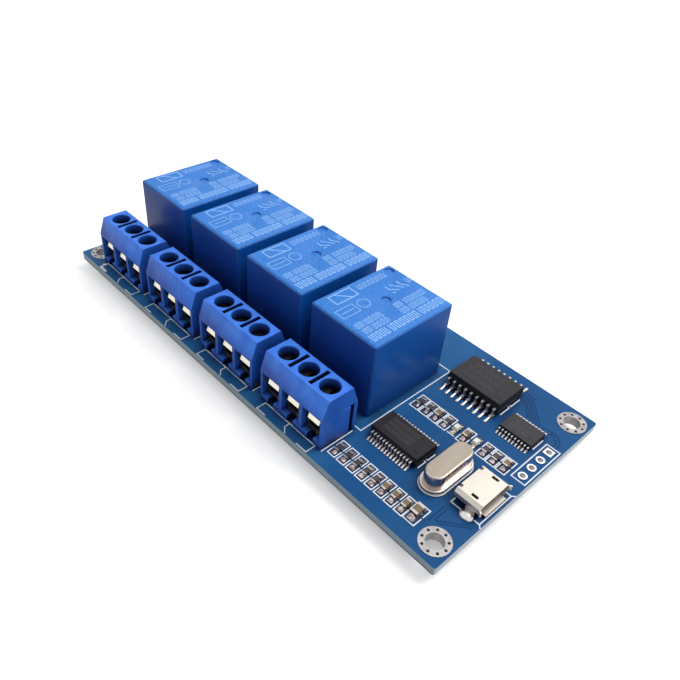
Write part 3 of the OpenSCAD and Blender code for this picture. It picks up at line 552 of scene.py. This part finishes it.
for name, joints, finish in (("solder_fillets", lead_joints, solder),
                             ("reflowed_fillets", cap_joints, reflowed)):
    dots = bpy.data.meshes.new("dots")
    dots.from_pydata([(x * MM, y * MM, land_top) for (x, y), _ in joints], [], [])
    spans = dots.attributes.new("span", "FLOAT_VECTOR", "POINT")
    for k, (_, fillet) in enumerate(joints):
        spans.data[k].vector = [side * MM for side in fillet]
    slopes.make(name, dots, finish, "solder")

# The socket's two side feet sit under a mound of solder each.
MOUND_L, MOUND_W, MOUND_H = 1.25, 1.0, 0.85  # half its length, half its width, its height
MOUND_IN_X, MOUND_IN_Y = 2.85, 0.6  # from the board's end and from the shell's sides
shell_low, shell_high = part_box("usb_shell")
shape = bmesh.new()
for y in (shell_low.y + MOUND_IN_Y * MM, shell_high.y - MOUND_IN_Y * MM):
    ball = bmesh.ops.create_uvsphere(shape, u_segments=28, v_segments=18, radius=1.0)["verts"]
    for vert in ball:
        u, v, w = vert.co
        swell = 1 + 0.05 * math.sin(3 * u + 2 * v)
        vert.co = (board_high.x + (MOUND_L * u * swell - MOUND_IN_X) * MM,
                   y + MOUND_W * v * swell * MM,
                   board_top + max(MOUND_H * w * swell, 0) * MM)
bmesh.ops.recalc_face_normals(shape, faces=shape.faces)
for face in shape.faces:
    face.smooth = True
mesh = bpy.data.meshes.new("mounds")
shape.to_mesh(mesh)
shape.free()
mesh.materials.append(solder.material)
seat("solder_mounds", mesh)

# ---------------------------------------------------------------------------
# Relays. Sealed cube relays: a moulded cover of deep blue plastic with a
# sand-textured top that is painted lighter, as painted light, over a black
# base potted with resin.

COVER_EASE = 0.1 * MM  # rounding of the cover's edges
RIM = 0.16 * MM  # how far the lighter rim, part rubbed wear and part painted highlight, reaches down the walls
RELAY_PRINT_H = 0.012 * MM

relay_plastic = Finish("relay_plastic", roughness=0.34, specular=0.15)
# Painted light: the top is painted lighter than the walls, and the ends that face +X lighter than
# the sides.
up = relay_plastic.ramp(relay_plastic.facing("Z"), 0.3, 0.9)
to_end = relay_plastic.ramp(relay_plastic.facing("X"), 0.3, 0.9)
flow = relay_plastic.noise(180, 3.0, 0.5, (1.0, 1.0, 0.4))
side = relay_plastic.mix(flow, srgb(20, 54, 124), srgb(28, 70, 148))
end = relay_plastic.mix(flow, srgb(12, 71, 147), srgb(17, 88, 174))
grain = relay_plastic.ramp(relay_plastic.noise(2200, 4.0, 0.7), 0.3, 0.7)
top = relay_plastic.mix(grain, srgb(46, 113, 204), srgb(80, 150, 233))
walls = relay_plastic.mix(to_end, side, end)
# Just under the top edges the walls are painted lighter, partly as rubbed wear and partly as a
# painted highlight.
scuff_and_highlight = relay_plastic.math(
    "MULTIPLY", relay_plastic.ramp(relay_plastic.noise(900, 3.0), 0.35, 0.6, 0.1, 0.7),
    relay_plastic.above(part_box("relay_1_cover")[1].z - RIM, 0.05 * MM))
walls = relay_plastic.mix(scuff_and_highlight, walls, srgb(112, 164, 232))
relay_plastic.paint(relay_plastic.mix(up, walls, top))
relay_plastic.gloss(relay_plastic.ramp(up, 0.0, 1.0, 0.3, 0.46))
relay_plastic.bump(relay_plastic.noise(4000, 2.0), 0.006 * MM, 0.6)

potting = Finish("relay_base", roughness=0.55)
potting.mottle(600, srgb(18, 18, 20), srgb(34, 34, 38))
potting.bump(potting.noise(900), 0.03 * MM, 0.5)

pin_tin = Finish("tinned_pin", roughness=0.3, metallic=1.0)
pin_tin.mottle(1500, srgb(170, 171, 172), srgb(214, 214, 212))


def eased(node, finish, width, clamp=True):
    """Shows a copy of a CAD node, with its sharp edges rounded, in the node's place."""
    shape = bmesh.new()
    shape.from_mesh(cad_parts[node].data)
    bmesh.ops.remove_doubles(shape, verts=shape.verts, dist=2e-6)
    bmesh.ops.dissolve_limit(shape, angle_limit=math.radians(0.5),
                             verts=shape.verts, edges=shape.edges)
    for face in shape.faces:
        face.smooth = True
    rough = bpy.data.meshes.new("rough")
    shape.to_mesh(rough)
    shape.free()
    rough.materials.append(finish.material)
    maker = bpy.data.objects.new("maker", rough)
    bpy.context.scene.collection.objects.link(maker)
    round_off = maker.modifiers.new("round_off", "BEVEL")
    round_off.width = width
    round_off.segments = 2
    round_off.limit_method = "ANGLE"
    round_off.angle_limit = math.radians(35)
    round_off.use_clamp_overlap = clamp
    round_off.harden_normals = True
    bpy.context.view_layer.update()
    ready = maker.evaluated_get(bpy.context.evaluated_depsgraph_get())
    mesh = bpy.data.meshes.new_from_object(ready)
    bpy.data.objects.remove(maker)
    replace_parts(seat(f"{node}_eased", mesh), node)


def wave(x, y0, y1, height, pitch):
    """A square wave along Y, as tall as a line of print."""
    steps = max(1, round((y1 - y0) / pitch))
    line = []
    for k in range(steps + 1):
        y = y0 + (y1 - y0) * k / steps
        line += [(x + (height if k % 2 else 0), y), (x + (0 if k % 2 else height), y)]
    return line


def ring(x, y, r, steps=20):
    """One line round a circle."""
    return [(x + r * math.cos(math.tau * k / steps), y + r * math.sin(math.tau * k / steps))
            for k in range(steps + 1)]


# Plain marks on the top of a cover, from its centre: a coil symbol, a contact
# symbol, a ring and a bar, and rows of square waves where print would stand.
BOLD_MARKS = [
    oblong(-6.7, -6.7, -4.3, -1.7), [(-6.7, -5.4), (-4.3, -3.0)],
    [(-2.9, 3.6), (-1.9, 3.6), (-0.9, 5.0)], [(-0.8, 3.5), (-0.8, 3.9)],
    [(-2.9, 4.6), (-0.9, 6.2)], [(-2.9, 6.4), (-2.0, 6.4), (-0.7, 7.3)],
    wave(4.9, -8.5, -4.9, 1.5, 0.55), wave(4.9, -4.0, 2.4, 1.5, 0.55),
    wave(4.9, 3.3, 8.7, 1.5, 0.55),
]
FINE_MARKS = [
    ring(-1.9, -2.8, 1.15), oblong(-3.0, -8.5, -0.7, -4.6),
    [(-1.85, -7.9), (-1.85, -5.2)],
    wave(-6.2, -0.4, 6.2, 1.1, 0.5), wave(-2.6, 8.0, 9.0, 1.2, 0.5),
    wave(1.4, -8.4, -6.9, 1.2, 0.42), wave(1.4, -6.3, -2.6, 1.2, 0.42),
    wave(1.4, 0.9, 2.4, 1.2, 0.42), wave(1.4, 3.2, 8.2, 1.2, 0.42),
    wave(3.1, -8.2, -6.7, 1.2, 0.42), wave(3.1, -6.1, -2.7, 1.2, 0.42),
    wave(3.1, 0.7, 2.3, 1.2, 0.42), wave(3.1, 3.0, 6.8, 1.2, 0.42),
]
relay_ink = Finish("relay_ink", roughness=0.5)
relay_ink.mottle(2500, srgb(116, 172, 244), srgb(158, 204, 252))

for relay in [f"relay_{n}" for n in CHANNELS]:
    eased(f"{relay}_cover", relay_plastic, COVER_EASE, clamp=False)
    dress(f"{relay}_base", potting)
    dress(f"{relay}_pins", pin_tin)
    low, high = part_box(f"{relay}_cover")
    x, y = (low.x + high.x) / 2 / MM, (low.y + high.y) / 2 / MM
    for weight, marks, width in (("bold", BOLD_MARKS, 0.26), ("fine", FINE_MARKS, 0.16)):
        drawing = line_drawing([[(x + u, y + v) for u, v in line] for line in marks], high.z)
        strokes.make(f"{relay}_marks_{weight}", drawing, relay_ink, "relay_plastic",
                     Width=width * MM, Height=RELAY_PRINT_H)

# ---------------------------------------------------------------------------
# Screw terminals. Moulded blue polyamide blocks, three poles each, with a
# plated cage, a slotted screw and a bright clamp leaf in every pole.

HOUSING_EASE = 0.08 * MM  # rounding of the housing's edges

terminal_plastic = Finish("terminal_plastic", roughness=0.4, specular=0.15)
flow = terminal_plastic.ramp(terminal_plastic.noise(500, 4.0, 0.65, (1.0, 1.0, 0.4)), 0.3, 0.7)
long_face = terminal_plastic.mix(flow, srgb(60, 118, 226), srgb(76, 140, 248))
# Painted shade: the ends that face +X and the faces that don't look up are painted darker than the
# long faces.
shaded_end_face = terminal_plastic.mix(flow, srgb(34, 88, 180), srgb(44, 102, 200))
shaded_lower_face = terminal_plastic.mix(flow, srgb(38, 74, 162), srgb(50, 92, 188))
open_plastic = terminal_plastic.mix(
    terminal_plastic.ramp(terminal_plastic.facing("Z"), 0.1, 0.35), shaded_lower_face, long_face)
open_plastic = terminal_plastic.mix(
    terminal_plastic.ramp(terminal_plastic.facing("X"), 0.3, 0.9), open_plastic, shaded_end_face)
# Painted shade: deep in the pockets, slots and screw holes the plastic is painted near black.
terminal_plastic.paint(terminal_plastic.mix(
    terminal_plastic.painted_shade(3.0 * MM, 0.3, 0.85), open_plastic, srgb(10, 20, 62)))
terminal_plastic.gloss(terminal_plastic.ramp(terminal_plastic.noise(700), 0.3, 0.7, 0.34, 0.48))
terminal_plastic.bump(terminal_plastic.noise(2500, 2.0), 0.008 * MM, 0.6)

cage_metal = Finish("cage_metal", roughness=0.3, metallic=1.0)
cage_metal.mottle(900, srgb(104, 92, 74), srgb(150, 138, 116))

screw_metal = Finish("screw_metal", roughness=0.25, metallic=1.0)
worn = screw_metal.mix(screw_metal.noise(1200), srgb(96, 90, 82), srgb(176, 166, 148))
# Painted shade: deep in its hole the screw is painted near black.
deep = screw_metal.painted_shade(2.5 * MM, 0.25, 0.85)
screw_metal.paint(screw_metal.mix(deep, worn, srgb(14, 13, 20)))

leaf_metal = Finish("leaf_metal", roughness=0.35, metallic=0.85)
leaf_metal.mottle(900, srgb(242, 234, 214), srgb(254, 250, 238))

for terminal in [f"terminal_{n}" for n in CHANNELS]:
    eased(f"{terminal}_housing", terminal_plastic, HOUSING_EASE)
    dress(f"{terminal}_cages", cage_metal)
    dress(f"{terminal}_screws", screw_metal)
    dress(f"{terminal}_leaves", leaf_metal)

# ---------------------------------------------------------------------------
# Control chips. Black moulded epoxy bodies on tinned gull-wing leads, marked
# by laser and soldered flat on their lands.

lead_tin = Finish("tinned_lead", roughness=0.25, metallic=0.6)
bright = lead_tin.mix(lead_tin.noise(1500), srgb(214, 214, 216), srgb(250, 250, 250))
# Painted highlight: faces of the leads that look up are painted near white, the slanted legs grey.
flat = lead_tin.ramp(lead_tin.facing("Z"), 0.3, 0.9)
lead_tin.paint(lead_tin.mix(flat, srgb(136, 132, 136), bright))

laser_mark = Finish("laser_mark", roughness=0.6, specular=0.3)
laser_mark.mottle(1800, srgb(50, 50, 54), srgb(84, 84, 89))

CHIP_MARK_W, CHIP_MARK_H = 0.12 * MM, 0.008 * MM
EPOXIES = ((srgb(36, 36, 40), srgb(55, 54, 58)), (srgb(26, 24, 27), srgb(42, 40, 43)),
           (srgb(42, 43, 45), srgb(66, 66, 68)))
for chip, shades in zip(CHIPS, EPOXIES):
    epoxy = Finish(f"{chip}_epoxy", roughness=0.55, specular=0.25)
    dull = epoxy.mix(epoxy.noise(2200, 4.0, 0.6), *shades)
    # Painted shade: the sides of the body are painted darker than its top.
    on_top = epoxy.ramp(epoxy.facing("Z"), 0.5, 0.95)
    epoxy.paint(epoxy.mix(on_top, srgb(20, 20, 23), dull))
    epoxy.bump(epoxy.noise(6000, 2.0), 0.006 * MM, 0.8)
    dress(f"{chip}_body", epoxy)
    dress(f"{chip}_leads", lead_tin)
    low, high = corners(f"{chip}_body")
    x, y, _ = centre_of(low, high)
    long, deep = high.x - low.x, high.y - low.y
    rows = [wave(y + share * deep, x - 0.34 * long, x + 0.2 * long, 0.13 * deep, 0.07 * deep)
            for share in (-0.26, -0.04, 0.18)]
    marks = line_drawing([[(along, across) for across, along in row] for row in rows], high.z * MM)
    strokes.make(f"{chip}_marks", marks, laser_mark, "chip_plastic",
                 Width=CHIP_MARK_W, Height=CHIP_MARK_H)

# ---------------------------------------------------------------------------
# Crystal. A drawn steel can, nickel plated, welded to a base plate whose two
# leads go through the board.

can = Finish("can_metal", roughness=0.2, metallic=1.0)
lid = can.math("MULTIPLY", can.ramp(can.facing("Z"), 0.85, 0.99),
               can.above(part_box("crystal_can")[1].z - 0.5 * MM, 0.1 * MM))
drawn = can.mix(can.noise(400, 2.0, 0.5, (1.0, 1.0, 0.3)),
                srgb(168, 156, 150), srgb(222, 210, 202))
brushed = can.mix(can.noise(900, 2.0, 0.5, (1.0, 0.2, 1.0)),
                  srgb(151, 141, 129), srgb(169, 159, 147))
can.paint(can.mix(lid, drawn, brushed))
can.gloss(can.ramp(lid, 0.0, 1.0, 0.26, 0.5))
dress("crystal_can", can)
dress("crystal_base", can)
dress("crystal_leads", pin_tin)

# ---------------------------------------------------------------------------
# Data socket. A shell folded from plated sheet round a black moulded tongue
# with gold contacts.

shell = Finish("socket_shell", roughness=0.36, metallic=0.85)
plated = shell.mix(shell.noise(700), srgb(203, 196, 184), srgb(219, 213, 202))
# Painted reflection and shade: faces that don't look up are painted a darker violet grey; faces
# that look up keep the plated colour.
up = shell.ramp(shell.facing("Z"), 0.2, 0.9)
shell.paint(shell.mix(up, srgb(178, 168, 166), plated))
dress("usb_shell", shell)

insert = Finish("socket_plastic", roughness=0.5)
insert.mottle(1500, srgb(16, 16, 17), srgb(30, 30, 32))
dress("usb_tongue", insert)

gold = Finish("gold_contact", roughness=0.25, metallic=1.0)
gold.mottle(1500, srgb(206, 160, 76), srgb(232, 196, 120))
dress("usb_contacts", gold)

# ---------------------------------------------------------------------------
# Small parts. Chip resistors with a black glaze, tan ceramic capacitors and
# two light-emitting diodes, all with tinned ends.

glaze = Finish("resistor_body", roughness=0.3)
glaze.mottle(2000, srgb(40, 38, 42), srgb(84, 78, 84))
dress("resistor_bodies", glaze)

ceramic = Finish("capacitor_ceramic", roughness=0.45)
ceramic.mottle(2500, srgb(104, 84, 58), srgb(142, 118, 84))
dress("capacitor_bodies", ceramic)

end_tin = Finish("end_cap", roughness=0.3, metallic=0.9)
capped = end_tin.mix(end_tin.noise(2500), srgb(150, 144, 142), srgb(226, 220, 212))
# Painted shade: the faces of the caps that don't look up are painted dark.
flat = end_tin.ramp(end_tin.facing("Z"), 0.6, 0.95)
end_tin.paint(end_tin.mix(flat, srgb(70, 62, 66), capped))
dress("resistor_ends", end_tin)
dress("capacitor_ends", end_tin)

led_white = Finish("led_body", roughness=0.5)
led_white.mottle(2500, srgb(226, 230, 224), srgb(242, 245, 240))
dress("led_bodies", led_white)

led_gold = Finish("led_end", roughness=0.3, metallic=0.9)
led_gold.mottle(2500, srgb(196, 192, 160), srgb(232, 228, 204))
dress("led_ends", led_gold)

lens = Finish("led_lens", roughness=0.2)
lens.mottle(2500, srgb(226, 232, 214), srgb(242, 246, 236))
dress("led_lenses", lens)

# ---------------------------------------------------------------------------
# Stage: a white sheet that runs to the horizon, a large soft lamp over the
# back of the board, an even sky, and the camera.


class Backdrop:
    """A node tree of the stage; seen is 1 for rays that show it as the background."""

    def __init__(self, owner):
        owner.use_nodes = True
        self.tree = owner.node_tree
        self.tree.nodes.clear()
        rays = self.add("ShaderNodeLightPath").outputs
        self.direct = rays["Is Camera Ray"]
        self.seen = self.math("MAXIMUM", self.direct, self.math(
            "MAXIMUM", rays["Is Glossy Ray"], rays["Is Transmission Ray"]))

    add = Finish.add
    plug = Finish.plug
    math = Finish.math
    ramp = Finish.ramp


SHEET_SIDE = 6.0  # metres
SHEET_GAP = 0.2 * MM
LAMP_AT, LAMP_SIDE, LAMP_WATTS = (0.16, 0.3, 0.5), 0.4, 2.1
CAMERA_AT = Vector((75.99, -72.36, 85.71)) * MM

bpy.ops.mesh.primitive_plane_add(size=SHEET_SIDE, location=(0, 0, cad_box[0].z - SHEET_GAP))
floor = bpy.context.object
floor.name = "floor"
sheet = bpy.data.materials.new("white_sheet")
paper = Backdrop(sheet)
away = paper.add("ShaderNodeVectorMath", {
    0: paper.add("ShaderNodeTexCoord").outputs["Object"]}, operation="LENGTH").outputs["Value"]
lift = paper.math("MULTIPLY", paper.ramp(away, 0.12, 0.7, 0.32, 0.6), paper.seen)
lit = paper.add("ShaderNodeBsdfDiffuse", {"Color": paper.ramp(paper.direct, 0.0, 1.0, 0.8, 1.0)})
glow = paper.add("ShaderNodeEmission", {"Strength": lift})
both = paper.add("ShaderNodeAddShader", {0: lit.outputs[0], 1: glow.outputs[0]})
paper.add("ShaderNodeOutputMaterial", {"Surface": both.outputs[0]})
floor.data.materials.append(sheet)

world = bpy.data.worlds.new("even_sky")
bpy.context.scene.world = world
sky = Backdrop(world)
even = sky.add("ShaderNodeBackground", {
    "Color": (1, 1, 1, 1), "Strength": sky.ramp(sky.seen, 0.0, 1.0, 0.6, 1.0)})
sky.add("ShaderNodeOutputWorld", {"Surface": even.outputs[0]})

lamp_data = bpy.data.lights.new("back_softbox", "AREA")
lamp_data.shape = "SQUARE"
lamp_data.size = LAMP_SIDE
lamp_data.energy = LAMP_WATTS
lamp = bpy.data.objects.new("back_softbox", lamp_data)
bpy.context.scene.collection.objects.link(lamp)
lamp.location = LAMP_AT
lamp.rotation_euler = (-Vector(LAMP_AT)).to_track_quat("-Z", "Y").to_euler()

bpy.context.scene.view_settings.view_transform = "Standard"

camera = bpy.data.objects.new("camera", bpy.data.cameras.new("camera"))
bpy.context.scene.collection.objects.link(camera)
bpy.context.scene.camera = camera
camera.data.sensor_width = 36.0
camera.data.lens = 36.05
camera.data.clip_start = 0.005
right = Vector((0.6831, 0.7265, 0.0745))
ahead = Vector((-0.5285, 0.5621, -0.6362))
above = right.cross(ahead)
turn = Matrix((right, above, -ahead)).transposed()
camera.matrix_world = Matrix.Translation(CAMERA_AT) @ turn.to_4x4()
